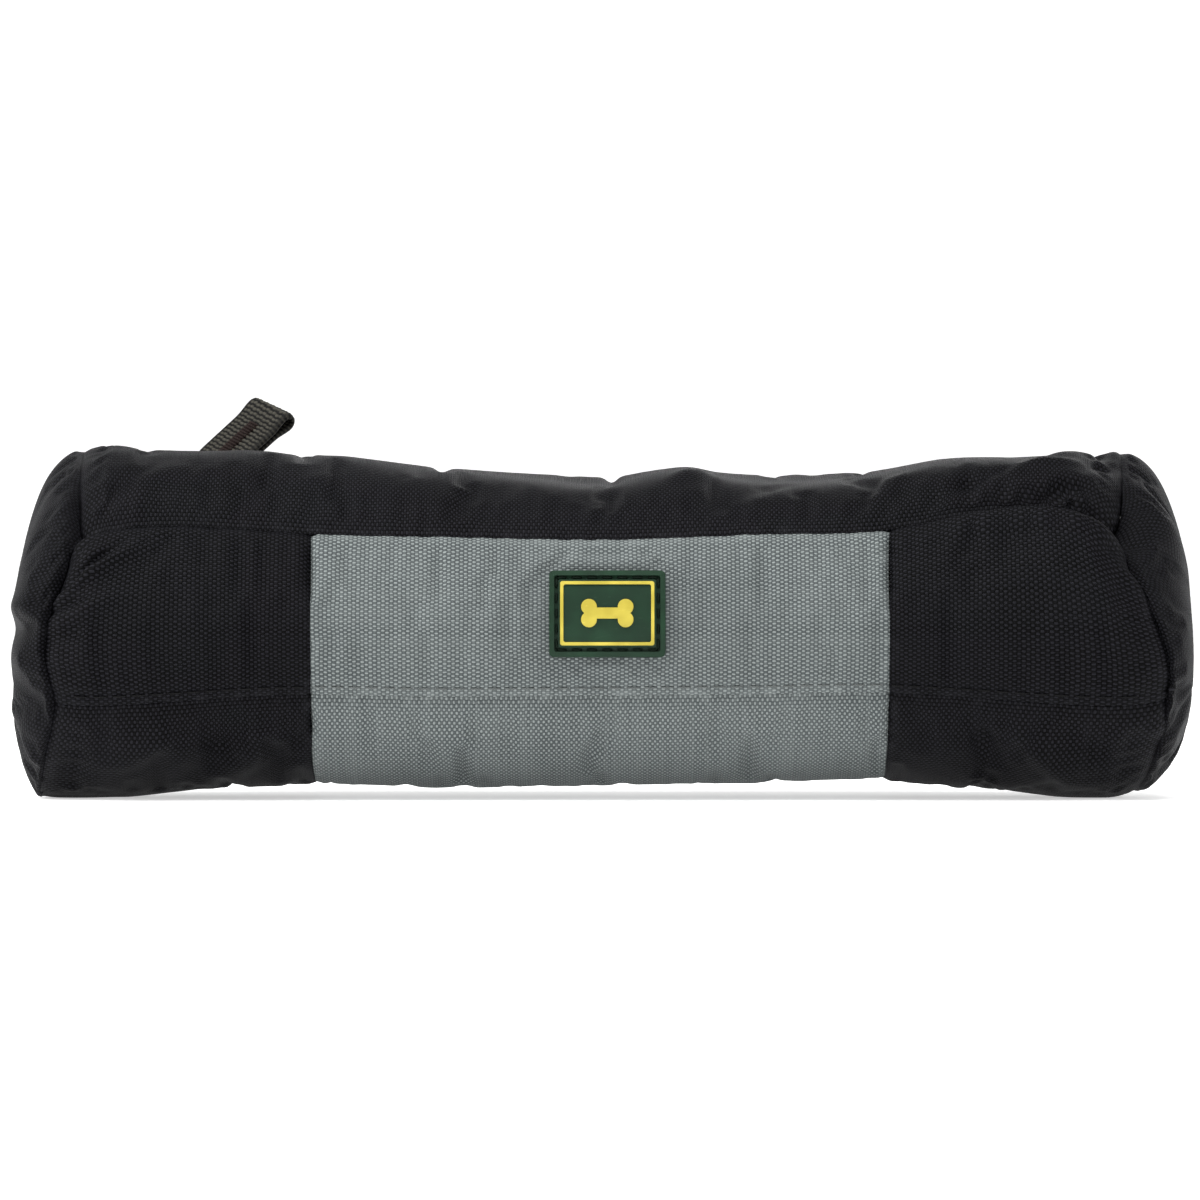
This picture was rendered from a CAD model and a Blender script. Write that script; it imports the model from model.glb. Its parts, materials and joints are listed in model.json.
import json
import math

import bmesh
import bpy
import numpy as np
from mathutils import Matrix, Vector


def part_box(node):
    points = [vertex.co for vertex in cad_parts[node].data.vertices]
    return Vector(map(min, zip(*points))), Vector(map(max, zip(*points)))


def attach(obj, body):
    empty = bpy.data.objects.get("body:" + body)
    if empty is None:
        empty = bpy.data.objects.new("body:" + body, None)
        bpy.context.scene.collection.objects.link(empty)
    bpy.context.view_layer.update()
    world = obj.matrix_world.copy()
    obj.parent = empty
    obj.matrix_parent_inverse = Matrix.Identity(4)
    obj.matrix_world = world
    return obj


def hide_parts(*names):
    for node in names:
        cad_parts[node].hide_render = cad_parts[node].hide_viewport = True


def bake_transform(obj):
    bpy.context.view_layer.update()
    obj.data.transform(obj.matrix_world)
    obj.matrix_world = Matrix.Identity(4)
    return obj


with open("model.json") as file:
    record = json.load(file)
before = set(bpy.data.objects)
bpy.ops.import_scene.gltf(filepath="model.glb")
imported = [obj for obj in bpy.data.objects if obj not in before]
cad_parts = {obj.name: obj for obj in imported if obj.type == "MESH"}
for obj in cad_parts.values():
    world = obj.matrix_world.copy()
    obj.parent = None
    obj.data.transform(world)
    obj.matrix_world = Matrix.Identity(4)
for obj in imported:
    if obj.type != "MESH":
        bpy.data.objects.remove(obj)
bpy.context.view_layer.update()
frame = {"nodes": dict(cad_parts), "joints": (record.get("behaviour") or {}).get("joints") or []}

MM = 0.001
ROLL, LOOP = "roll", "loop"


# ---------------------------------------------------------------- places that the frame gives

def box_mm(node):
    """Lowest and highest corner of a CAD node, in millimetres."""
    low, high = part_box(node)
    return np.array(low) / MM, np.array(high) / MM


CAP_LOW, CAP_HIGH = box_mm("end_cap_left")
RADIUS = (CAP_HIGH[1] - CAP_LOW[1]) / 2
AXIS_Y = (CAP_HIGH[1] + CAP_LOW[1]) / 2
AXIS_Z = CAP_HIGH[2] - RADIUS
HALF_LENGTH = box_mm("top_panel")[1][0]
HALF_CENTRE = box_mm("front_band_centre")[1][0]
LABEL_LOW, LABEL_HIGH = box_mm("label_base")
JOINT_AT = {joint["name"]: np.array(joint.get("pos_m", (0, 0, 0))) / MM for joint in frame["joints"]}

# Seams round the roll, in degrees up from the front
BACK_SEAM = -116.0
BASE_SEAM = -26.0
FRONT_SEAM = 37.0
ZIP_ANGLE = 142.0
ZIP_HALF_OPENING = 11.54
LABEL_ANGLE = 5.4
LABEL_X = (LABEL_LOW[0] + LABEL_HIGH[0]) / 2


# ---------------------------------------------------------------- curves and small helpers

def smooth_curve(points, period=None):
    """A function that passes smoothly through a few (place, value) points."""
    at, value = (np.array(column, float) for column in zip(*points))
    if period:
        at = np.concatenate((at - period, at, at + period))
        value = np.tile(value, 3)
    slope = np.gradient(value, at)

    def curve(x):
        x = np.asarray(x, float)
        if period:
            x = (x - at[len(at) // 3]) % period + at[len(at) // 3]
        x = np.clip(x, at[0], at[-1])
        i = np.clip(np.searchsorted(at, x, side="right") - 1, 0, len(at) - 2)
        gap = at[i + 1] - at[i]
        t = (x - at[i]) / gap
        a, b = value[i], value[i + 1]
        rise = gap * (slope[i] * t * (1 - t) ** 2 - slope[i + 1] * t ** 2 * (1 - t))
        return a * (1 + 2 * t) * (1 - t) ** 2 + b * t * t * (3 - 2 * t) + rise

    return curve


def swell_between(x, centre, before, after):
    """1 at the centre, falling smoothly to 0 at a distance before and after it."""
    away = x - centre
    share = np.where(away < 0, -away / before, away / after)
    return np.cos(np.clip(share, 0, 1) * math.pi / 2) ** 2


def hump(distance, width):
    return np.exp(-((distance / width) ** 2))


def lines_through(marks, step):
    """Evenly divided places between marks, with each mark kept."""
    lines = [marks[0]]
    for a, b in zip(marks, marks[1:]):
        count = max(2, round((b - a) / step))
        lines += [a + (b - a) * i / count for i in range(1, count + 1)]
    return np.array(lines)


def between(old, new):
    """Matrix that carries values from one set of places to another along smooth curves."""
    identity = np.eye(len(old))
    columns = [smooth_curve(list(zip(old, row)))(new) for row in identity]
    return np.array(columns).T


def outward(angle):
    """Direction out from the roll's axis at an angle round it, in degrees."""
    a = np.radians(angle)
    return np.stack((np.zeros_like(a), -np.cos(a), np.sin(a)), axis=-1)


# ---------------------------------------------------------------- shape of the filled roll

TOP_LINE = smooth_curve([(-93, 59.8), (-87, 61.0), (-79, 60.6), (-71, 60.3), (-60, 60.2), (-46, 59.4),
                         (-27, 57.4),
                         (-10, 55.9), (2, 55.3), (9, 56.8), (16, 57.6), (21, 56.4), (28, 55.7), (46, 56.4),
                         (61, 58.9),
                         (76, 59.2), (86, 59.8), (93, 59.4)])
SEAM_LINE = smooth_curve([(-93, 47.4), (-88, 47.8), (-76, 48.5), (-62, 47.8), (-49, 46.9), (-25, 46.3),
                          (0, 45.9), (25, 46.6),
                          (50, 47.9), (62, 50.6), (70, 51.7), (78, 52.0), (84, 51.0), (89, 48.6),
                          (93, 46.6)])
BASE_LINE = smooth_curve([(-93, -0.5), (-84, -0.4), (-75, 0.7), (-57, 2.9), (-26, 2.6), (0, 2.9),
                          (27, 3.4), (49, 3.9), (66, 2.0), (77, 0.3), (86, -0.6), (93, 0.2)])
LEFT_SEAM_X = smooth_curve([(-110, -96), (-75, -98), (-48, -96.4), (-28, -94.6), (-8, -96.2), (8, -95.2),
                            (26, -92.6), (42, -91), (60, -91), (95, -91.2), (140, -92), (190, -93)], 360)
RIGHT_SEAM_X = smooth_curve([(-110, 93.5), (-80, 94.5), (-55, 96.6), (-32, 98.2), (-12, 98.6), (5, 96.0),
                             (22, 92.6), (37, 90.4), (55, 91.2), (95, 92), (140, 92.5), (190, 92.5)], 360)
LEFT_APEX_X = -102.8
RIGHT_APEX_X = 103.0
TOP_ANGLE = 86.0
SAG_STRETCH = 1.25
SKIN_CLEARANCE = 0.15
SEAM_SHIFT_REACH = 26.0
RIM_WIDTH = 6.5
LEFT_RIM_DEPTH = smooth_curve([(-120, 1.2), (-90, 0.2), (-60, 0.3), (-36, 1.0), (-12, 1.8), (2, 3.0),
                               (12, 4.6), (24, 4.8),
                               (38, 4.0), (52, 2.6), (68, 0.9), (85, 0.2), (110, 0.2), (150, 1.8)], 360)
RIGHT_RIM_DEPTH = smooth_curve([(-120, 1.4), (-90, 0.7), (-60, 1.4), (-20, 2.0), (10, 2.4), (28, 4.2),
                                (38, 6.0),
                                (52, 4.4), (70, 1.6), (84, 0.9), (110, 0.8), (150, 2.0)], 360)
LEFT_CAP_FULLNESS = smooth_curve([(-90, 0.36), (-30, 0.75), (10, 1.15), (50, 1.4), (120, 1.4), (200, 1.0)],
                                 360)
RIGHT_CAP_FULLNESS = smooth_curve([(-90, 0.55), (-30, 0.8), (10, 1.0), (60, 1.0), (120, 1.0), (200, 1.0)],
                                  360)


# Corners that stand up at the top's two ends: height, place along the roll and its reach, angle and its reach
EARS = [(2.6, 1.5 - HALF_LENGTH, 4.5, 107, 14), (2.5, HALF_LENGTH - 0.6, 2.8, 98, 12)]


def shifted_x(x, angle):
    """Cap seams wander along the roll, and draw the cloth near them along."""
    left = np.clip((-x - (HALF_LENGTH - SEAM_SHIFT_REACH)) / SEAM_SHIFT_REACH, 0, 1) ** 2
    right = np.clip((x - (HALF_LENGTH - SEAM_SHIFT_REACH)) / SEAM_SHIFT_REACH, 0, 1) ** 2
    return x + left * (LEFT_SEAM_X(angle) + HALF_LENGTH) + right * (RIGHT_SEAM_X(angle) - HALF_LENGTH)


def roll_shape(x, angle):
    """The roll's skin before wrinkles: full at its ends, slack at the top of its middle."""
    sag = RADIUS + AXIS_Z - TOP_LINE(x)
    lift = BASE_LINE(x) + RADIUS - AXIS_Z
    seam_sag = AXIS_Z + RADIUS * math.sin(math.radians(FRONT_SEAM)) - SEAM_LINE(x)
    stretch = np.where(sag > 0, SAG_STRETCH, 1.0)
    drop = sag * stretch * swell_between(angle, TOP_ANGLE, TOP_ANGLE - FRONT_SEAM, 45)
    drop = drop + seam_sag * swell_between(angle, FRONT_SEAM, 51, TOP_ANGLE - FRONT_SEAM)
    rise = lift * swell_between(angle, -90, 90, 130)
    rim = np.where(x < 0, LEFT_RIM_DEPTH(angle), RIGHT_RIM_DEPTH(angle))
    rolled = np.clip(1 - (HALF_LENGTH - np.abs(x)) / RIM_WIDTH, 0, 1) ** 2
    radial = RADIUS - SKIN_CLEARANCE - rim * rolled
    for height, ear_x, reach_x, ear_angle, reach_angle in EARS:
        radial = radial + height * hump(x - ear_x, reach_x) * hump(angle - ear_angle, reach_angle)
    point = radial[..., None] * outward(angle)
    point[..., 0] = shifted_x(x, angle)
    point[..., 1] += AXIS_Y
    point[..., 2] += AXIS_Z - drop + rise
    floor = np.maximum(point[..., 2], 0)
    soft_floor = (floor + np.sqrt(point[..., 2] ** 2 + 0.03)) / 2
    point[..., 2] = np.where(point[..., 2] < 1, soft_floor, point[..., 2])
    return point


def cap_shape(side, angle, turn):
    """A cap from its seam, turn 0, to its middle, turn 90."""
    edge_x = np.full_like(angle, side * HALF_LENGTH)
    rim = roll_shape(edge_x, angle)
    depth = (LEFT_RIM_DEPTH if side < 0 else RIGHT_RIM_DEPTH)(angle)
    apex = LEFT_APEX_X if side < 0 else RIGHT_APEX_X
    t = np.radians(turn)
    middle = np.array((apex, AXIS_Y, AXIS_Z - 1.0))
    full = np.maximum(depth - 1.2, 0) * np.sin(np.clip(t * 2.2, 0, math.pi)) ** 0.8
    fullness = (LEFT_CAP_FULLNESS if side < 0 else RIGHT_CAP_FULLNESS)(angle)
    point = middle + (rim - middle) * (np.cos(t) ** fullness)[..., None]
    point = point + full[..., None] * outward(angle)
    point[..., 0] = rim[..., 0] + (apex - rim[..., 0]) * np.sin(t)
    return point


# ---------------------------------------------------------------- cloth simulation of the filled cover

COARSE_STEP = 2.0
FINE_STEP = 0.62
SIM_SCALE = 0.01
SIM_FRAMES = 22
LARGEST_MOVE = 1.5
ZIP_FRONT_EDGE = ZIP_ANGLE - ZIP_HALF_OPENING
ZIP_BACK_EDGE = ZIP_ANGLE + ZIP_HALF_OPENING
BACK_SEAM_AGAIN = BACK_SEAM + 360
ANGLE_MARKS = [BACK_SEAM, BASE_SEAM, FRONT_SEAM, ZIP_FRONT_EDGE, ZIP_BACK_EDGE, BACK_SEAM_AGAIN]
X_MARKS = [-HALF_LENGTH, -HALF_CENTRE, HALF_CENTRE, HALF_LENGTH]
MM_PER_DEGREE = RADIUS * math.pi / 180


def simulate_cover(x_lines, angles, turns):
    """Inflates the closed cover a little between its seams; gives how far each grid point moved."""
    count_x, count_a, count_t = len(x_lines), len(angles) - 1, len(turns)
    x_grid, a_grid = np.meshgrid(x_lines, angles[:-1], indexing="ij")
    tube = roll_shape(x_grid, a_grid)
    t_grid, ca_grid = np.meshgrid(turns[1:], angles[:-1], indexing="ij")
    caps = [cap_shape(side, ca_grid, t_grid) for side in (-1, 1)]
    points = np.concatenate([tube.reshape(-1, 3)] + [cap.reshape(-1, 3) for cap in caps])
    faces = []
    for i in range(count_x - 1):
        for j in range(count_a):
            k = (j + 1) % count_a
            faces.append((i * count_a + j, (i + 1) * count_a + j, (i + 1) * count_a + k, i * count_a + k))
    for side, start in ((-1, count_x * count_a), (1, count_x * count_a + (count_t - 1) * count_a)):
        rim_start = 0 if side < 0 else (count_x - 1) * count_a
        rings = [rim_start] + [start + r * count_a for r in range(count_t - 1)]
        for a, b in zip(rings, rings[1:]):
            for j in range(count_a):
                k = (j + 1) % count_a
                quad = (a + j, a + k, b + k, b + j)
                faces.append(quad if side < 0 else quad[::-1])
        last = [rings[-1] + j for j in range(count_a)]
        faces.append(last if side < 0 else last[::-1])

    mesh = bpy.data.meshes.new("cover_sim")
    mesh.from_pydata((points * SIM_SCALE).tolist(), [], faces)
    cover = bpy.data.objects.new("cover_sim", mesh)
    bpy.context.scene.collection.objects.link(cover)

    seam_gap = np.min([np.abs(a_grid - mark) for mark in ANGLE_MARKS], axis=0) * MM_PER_DEGREE
    seam_gap = np.minimum(seam_gap, HALF_LENGTH - np.abs(x_grid))
    held = hump(seam_gap, 3.5)
    in_zip = np.abs(a_grid - ZIP_ANGLE) <= ZIP_HALF_OPENING + 0.1
    label_away = np.maximum(np.abs(x_grid - LABEL_X) - 10, 0) + np.maximum(
        np.abs(a_grid - LABEL_ANGLE) * MM_PER_DEGREE - 7.5, 0)
    held = np.maximum.reduce([held, in_zip * 1.0, hump(label_away, 3), hump(tube[..., 2], 1.5)])
    cap_held = [hump(t_grid * MM_PER_DEGREE, 3.5), hump(t_grid * MM_PER_DEGREE, 3.5)]
    weights = np.concatenate([held.ravel()] + [w.ravel() for w in cap_held])
    group = cover.vertex_groups.new(name="held")
    for index, weight in enumerate(weights):
        group.add([index], float(weight), "REPLACE")

    modifier = cover.modifiers.new("cloth", "CLOTH")
    cloth = modifier.settings
    cloth.quality = 6
    cloth.mass = 0.3
    cloth.tension_stiffness = 20
    cloth.compression_stiffness = 20
    cloth.shear_stiffness = 8
    cloth.bending_stiffness = 0.6
    cloth.vertex_group_mass = "held"
    cloth.pin_stiffness = 20
    cloth.use_pressure = True
    cloth.uniform_pressure_force = 4
    cloth.shrink_min = -0.025
    cloth.effector_weights.gravity = 0
    modifier.collision_settings.use_collision = False
    modifier.point_cache.frame_start = 1
    modifier.point_cache.frame_end = SIM_FRAMES
    for step in range(1, SIM_FRAMES + 1):
        bpy.context.scene.frame_set(step)
    settled = cover.evaluated_get(bpy.context.evaluated_depsgraph_get()).to_mesh()
    moved = np.empty(len(points) * 3)
    settled.vertices.foreach_get("co", moved)
    moved = moved.reshape(-1, 3) / SIM_SCALE - points
    bpy.data.objects.remove(cover)
    bpy.data.meshes.remove(mesh)
    bpy.context.scene.frame_set(1)
    far = np.linalg.norm(moved, axis=1, keepdims=True)
    moved *= np.where(far > 0, LARGEST_MOVE * np.tanh(far / LARGEST_MOVE) / np.maximum(far, 1e-9), 1)

    tube_move = moved[:count_x * count_a].reshape(count_x, count_a, 3)
    tube_move = np.concatenate((tube_move, tube_move[:, :1]), axis=1)
    cap_moves = []
    start = count_x * count_a
    for side in (-1, 1):
        block = moved[start:start + (count_t - 1) * count_a].reshape(count_t - 1, count_a, 3)
        rim = tube_move[0 if side < 0 else -1][None]
        block = np.concatenate((block, block[:, :1]), axis=1)
        cap_moves.append(np.concatenate((rim, block), axis=0))
        start += (count_t - 1) * count_a
    return tube_move, cap_moves


# ---------------------------------------------------------------- folds and seams laid over the cloth

# Each fold, in mm: from and to a place along the roll and up round it from the front, then width and height
FOLDS = [
    # left end, fanning from the cap's notch
    (-95, 3.5, -76, 16, 1.1, 0.85), (-93, 6, -78, 18.5, 0.9, -0.9), (-94, 0.5, -80, 6, 1.6, 0.5),
    (-94, 3, -84, 6.5, 0.9, -0.55), (-94, -4, -82, 1, 2.0, -0.35), (-90, 12, -70, 18.5, 1.2, 0.5),
    (-92, 14, -86, 19, 0.9, -0.5),
    # left, below the stitched line
    (-76, -15, -84, -30, 3.0, 0.6), (-65, -16, -71, -36, 2.6, -0.95), (-59, -18, -64, -36, 2.6, 0.6),
    (-52, -20, -55, -34, 2.0, -0.45), (-86, -18, -92, -36, 2.2, -0.5), (-72, -15, -78, -26, 1.8, 0.4),
    # top, left
    (-88, 22, -80, 34, 1.8, -0.7), (-82, 21, -73, 36, 2.4, 0.45), (-62, 22, -57, 36, 2.8, -0.5),
    (-52, 24, -46, 38, 2.8, 0.35),
    # top, middle and right
    (-20, 24, -14, 40, 3.4, -0.35), (-4, 26, 3, 38, 3.4, -0.4), (12, 34, 20, 44, 2.6, 0.5),
    (24, 28, 34, 42, 3.0, -0.5),
    (44, 24, 58, 38, 3.0, 0.45), (54, 22, 76, 32, 2.0, -0.8), (66, 26, 86, 36, 2.2, 0.7),
    (74, 22, 90, 28, 1.6, -0.8),
    (84, 30, 92, 44, 1.8, -0.6), (78, 36, 86, 48, 2.2, 0.45),
    # front, right
    (54, 15, 90, 16.5, 2.4, 0.5), (86, 14, 96, 2, 1.8, 0.5), (80, 11, 93, -6, 2.4, -0.3),
    (60, 6, 78, 12, 3.4, -0.25),
    # right, below the stitched line
    (60, -15, 72, -36, 2.8, -0.75), (68, -16, 82, -36, 2.4, 0.7), (76, -17, 91, -34, 2.2, -0.65),
    (88, -16, 97, -28, 1.8, 0.5),
    # grey middle
    (-44, -8, -38, 14, 5.0, -0.16), (-24, -12, -18, 16, 6.0, 0.14), (22, -12, 27, 16, 6.0, -0.14),
    (40, -10, 44, 16, 4.0, 0.16),
    (-40, -18, -20, -34, 5.0, 0.16), (10, -18, 30, -34, 5.0, -0.2),
    # back
    (-70, 100, -60, 124, 4.0, -0.5), (-40, 92, -34, 122, 4.5, 0.45), (-10, 96, 0, 126, 5.0, -0.5),
    (30, 92, 34, 120, 4.5, 0.5),
    (60, 98, 70, 126, 4.0, -0.55), (84, 92, 78, 118, 3.0, 0.45), (-88, 96, -80, 122, 3.0, 0.5),
]
FOLD_RISE = 1.8


def fold_height(x, round_mm):
    """Sum of the folds' heights, each tapering to nothing at its ends."""
    height = np.zeros_like(x)
    for x0, s0, x1, s1, width, rise in FOLDS:
        run = np.array((x1 - x0, s1 - s0), float)
        length = math.hypot(*run)
        along = ((x - x0) * run[0] + (round_mm - s0) * run[1]) / length
        across = (-(x - x0) * run[1] + (round_mm - s0) * run[0]) / length
        bend = 0.06 * length * np.sin(np.clip(along / length, 0, 1) * math.pi)
        height += rise * segment_hump(across - bend, along, length, width)
    return height * FOLD_RISE


FRONT_SEAM_DEPTH = smooth_curve([(-92.5, 2.6), (-86, 1.9), (-70, 1.2), (-50, 0.9), (0, 0.8), (45, 1.0),
                                 (58, 1.9), (72, 3.3), (84, 4.3), (92.5, 4.6)])
PUCKER_LENGTH = 5.6


def pucker(along, phase):
    """Small gathers that a seam makes, never quite evenly spaced."""
    wave = along / PUCKER_LENGTH * 2 * math.pi
    return np.sin(wave + 1.3 * np.sin(wave * 0.37 + phase)) * (0.7 + 0.3 * np.sin(wave * 0.21 + phase * 2))


def seam_height(x, angle, low_angle, high_angle, low_x, high_x):
    """How a panel's edges roll down into its seams."""
    above = (angle - low_angle) * MM_PER_DEGREE
    below = (high_angle - angle) * MM_PER_DEGREE
    height = np.zeros_like(x)
    at_rim = 1 - 0.5 * hump(HALF_LENGTH - np.abs(x), 3)
    if low_angle == FRONT_SEAM:
        depth = FRONT_SEAM_DEPTH(x) * at_rim
        height -= depth * hump(above, 1.6 + depth * 0.9)
        height += 0.12 * pucker(x, 1.0) * np.exp(-above / 5)
    if high_angle == FRONT_SEAM:
        depth = FRONT_SEAM_DEPTH(x) * at_rim
        height -= depth * hump(below, 1.0)
        height += 0.28 * depth * hump(below - 3.6, 2.6)
        height += 0.12 * pucker(x, 1.0) * np.exp(-below / 5)
    if low_angle == BASE_SEAM:
        height -= 0.16 * hump(above, 0.5)
        height -= 0.3 * hump(above - 1.7, 0.6)
    if high_angle == BASE_SEAM:
        height -= 0.75 * hump(below, 1.6)
        height += 0.15 * pucker(x, 4.0) * np.exp(-below / 4)
    for edge, distance in ((ZIP_FRONT_EDGE, below), (ZIP_BACK_EDGE, above)):
        if edge in (low_angle, high_angle) and (distance is below) == (edge == high_angle):
            height -= 0.9 * hump(distance, 0.7) - 0.25 * hump(distance - 2.2, 0.8)
    if low_angle == ZIP_BACK_EDGE:
        height -= 1.1 * hump(below, 1.8) - 0.2 * pucker(x, 2.0) * np.exp(-below / 5)
    if low_angle == BACK_SEAM:
        height -= 1.1 * hump(above, 1.8) - 0.2 * pucker(x, 2.0) * np.exp(-above / 5)
    for edge, distance in ((low_x, x - low_x), (high_x, high_x - x)):
        if abs(edge) < HALF_LENGTH - 1:
            lift = 0.0 if abs(low_x) < HALF_LENGTH - 1 and abs(high_x) < HALF_LENGTH - 1 else 0.15
            height -= (0.55 - lift) * hump(distance, 0.8)
    edge_gap = HALF_LENGTH - np.abs(x)
    height += 0.15 * pucker(angle * MM_PER_DEGREE,
                            np.sign(x)) * np.exp(-edge_gap / 7) * (1 - hump(edge_gap, 1.5))
    flush = 0.85 * hump(angle - 92, 34) + 0.7 * hump(angle + 85, 40) + 0.7 * hump(angle - 275, 40)
    height -= 0.7 * hump(edge_gap, 0.8) * (1 - flush)
    return height


# ---------------------------------------------------------------- making mesh objects

def finish_object(name, mesh, body):
    obj = bpy.data.objects.new(name, mesh)
    bpy.context.scene.collection.objects.link(obj)
    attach(obj, body)
    return obj


def grid_mesh(name, points, uv, closed=False, flip=False):
    """Mesh of quads over a grid of points in millimetres, with its UV map in metres."""
    rows, columns = points.shape[:2]
    index = np.arange(rows * columns).reshape(rows, columns)
    if closed:
        index = np.concatenate((index[:, :-1], index[:, :1]), axis=1)
    quads = np.stack((index[:-1, :-1], index[1:, :-1], index[1:, 1:], index[:-1, 1:]), axis=-1)
    quads = quads.reshape(-1, 4)
    corners_uv = np.stack((uv[:-1, :-1], uv[1:, :-1], uv[1:, 1:], uv[:-1, 1:]), axis=-2).reshape(-1, 4, 2)
    if flip:
        quads = quads[:, ::-1]
        corners_uv = corners_uv[:, ::-1]
    mesh = bpy.data.meshes.new(name)
    mesh.from_pydata((points.reshape(-1, 3) * MM).tolist(), [], quads.tolist())
    layer = mesh.uv_layers.new(name="cloth")
    layer.data.foreach_set("uv", (corners_uv * MM).reshape(-1))
    mesh.polygons.foreach_set("use_smooth", [True] * len(quads))
    mesh.update()
    return mesh


def store_value(mesh, name, values):
    attribute = mesh.attributes.new(name, "FLOAT", "POINT")
    attribute.data.foreach_set("value", np.asarray(values, float).ravel())


def thicken(obj, thickness):
    solid = obj.modifiers.new("thickness", "SOLIDIFY")
    solid.thickness = thickness * MM
    solid.offset = -1
    solid.use_rim = True


def grid_normals(points):
    """Normals of a grid of points, pointing out of the roll."""
    along = np.gradient(points, axis=0)
    across = np.gradient(points, axis=1)
    normal = np.cross(along, across)
    return normal / np.maximum(np.linalg.norm(normal, axis=-1, keepdims=True), 1e-9)


CLOTH_THICKNESS = 0.6
PANELS = [
    ("front_band", BASE_SEAM, FRONT_SEAM, False),
    ("base_band", BACK_SEAM, BASE_SEAM, True),
]
LENGTHS = [("left", -HALF_LENGTH, -HALF_CENTRE, "black_fabric"),
           ("centre", -HALF_CENTRE, HALF_CENTRE, "grey_fabric"),
           ("right", HALF_CENTRE, HALF_LENGTH, "black_fabric")]


# Folds on the caps: each between two places given as an angle round the roll and a distance from the seam
LEFT_CAP_FOLDS = [
    (6, 1, 20, 22, 2.2, 1.5), (0, 1, 8, 26, 2.2, -1.9), (-14, 1, -4, 20, 3.0, 0.7),
    (-30, 2, -26, 16, 2.6, -0.7),
    (58, 0, 34, 9, 2.8, 1.0), (80, 2, 70, 16, 3.0, -0.6), (-48, 2, -42, 16, 3.0, 0.5),
    (-66, 1, -60, 14, 2.6, -0.8),
    (100, 2, 110, 18, 4.0, 0.5), (150, 2, 160, 20, 4.0, -0.6), (-120, 2, -126, 20, 4.0, -0.6),
]
RIGHT_CAP_FOLDS = [
    (60, 1, 50, 20, 3.0, 0.6), (44, 1, 36, 18, 2.6, -0.5), (-28, 1, -36, 16, 3.0, -0.7),
    (-50, 1, -44, 14, 2.6, 0.6),
    (-66, 1, -58, 12, 2.4, -0.7), (100, 2, 110, 18, 4.0, 0.5), (150, 2, 158, 20, 4.0, -0.6),
    (-126, 2, -130, 20, 4.0, 0.6),
]


def segment_hump(across, along, length, width):
    middle = length / 2
    return hump(across, width) * swell_between(along, middle, middle * 1.25, middle * 1.25)


def cap_fold_height(side, angle, turn):
    """Sum of one cap's folds, laid out flat round the cap's middle."""
    height = np.zeros_like(angle)
    reach = RADIUS - turn * MM_PER_DEGREE * 0.62
    x, y = reach * np.cos(np.radians(angle)), reach * np.sin(np.radians(angle))
    for a0, d0, a1, d1, width, rise in LEFT_CAP_FOLDS if side < 0 else RIGHT_CAP_FOLDS:
        start, end = ((RADIUS - d) * np.array((math.cos(math.radians(a)), math.sin(math.radians(a))))
                      for a, d in ((a0, d0), (a1, d1)))
        run = end - start
        length = math.hypot(*run)
        along = ((x - start[0]) * run[0] + (y - start[1]) * run[1]) / length
        across = ((y - start[1]) * run[0] - (x - start[0]) * run[1]) / length
        height += rise * segment_hump(across, along, length, width)
    return height


def cap_normal(side, angle, turn):
    """Way out of a cap: outward at its seam, along the roll at its middle."""
    t = np.radians(turn)
    normal = outward(angle) * np.cos(t)[..., None]
    normal[..., 0] = side * np.sin(t)
    normal[..., 0] += side * 0.35
    return normal / np.linalg.norm(normal, axis=-1, keepdims=True)


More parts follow.
